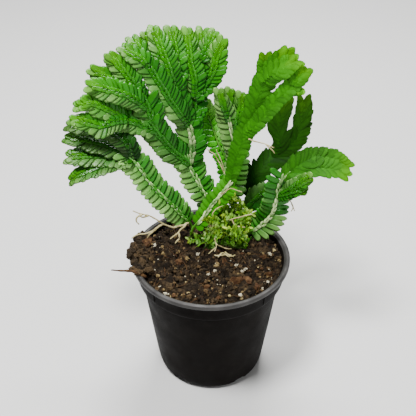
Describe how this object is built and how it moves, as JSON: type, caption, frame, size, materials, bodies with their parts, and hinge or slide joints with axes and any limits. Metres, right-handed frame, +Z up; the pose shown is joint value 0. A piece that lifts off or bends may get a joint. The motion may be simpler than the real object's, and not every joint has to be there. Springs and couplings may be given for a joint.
{
  "type": "potted spikemoss",
  "caption": "Spikemoss with flat forking fronds and pale aerial roots, in peat soil in a small black plastic nursery pot.",
  "frame": {"origin": "centre of the pot's base", "axes": "+Z up the pot's axis, -Y towards the viewer of the picture, +X to that viewer's right"},
  "size_m": [0.1048, 0.0702, 0.1322],
  "materials": {
    "pot_plastic": "satin",
    "peat_soil": "matte",
    "frond_green": "satin",
    "shoot_green": "satin",
    "root_tan": "matte"
  },
  "bodies": {
    "root": {"pot": "pot_plastic", "soil": "peat_soil", "frond_left": "frond_green", "frond_centre": "frond_green", "frond_front": "frond_green", "frond_middle": "frond_green", "frond_back": "frond_green", "frond_back_right": "frond_green", "frond_right": "frond_green", "frond_low": "frond_green", "crown_shoots_bright": "shoot_green", "crown_shoots_dark": "shoot_green", "roots_left": "root_tan", "roots_crown": "root_tan", "roots_fork": "root_tan", "roots_bend": "root_tan", "roots_middle": "root_tan", "roots_right": "root_tan"}
  },
  "joints": []
}
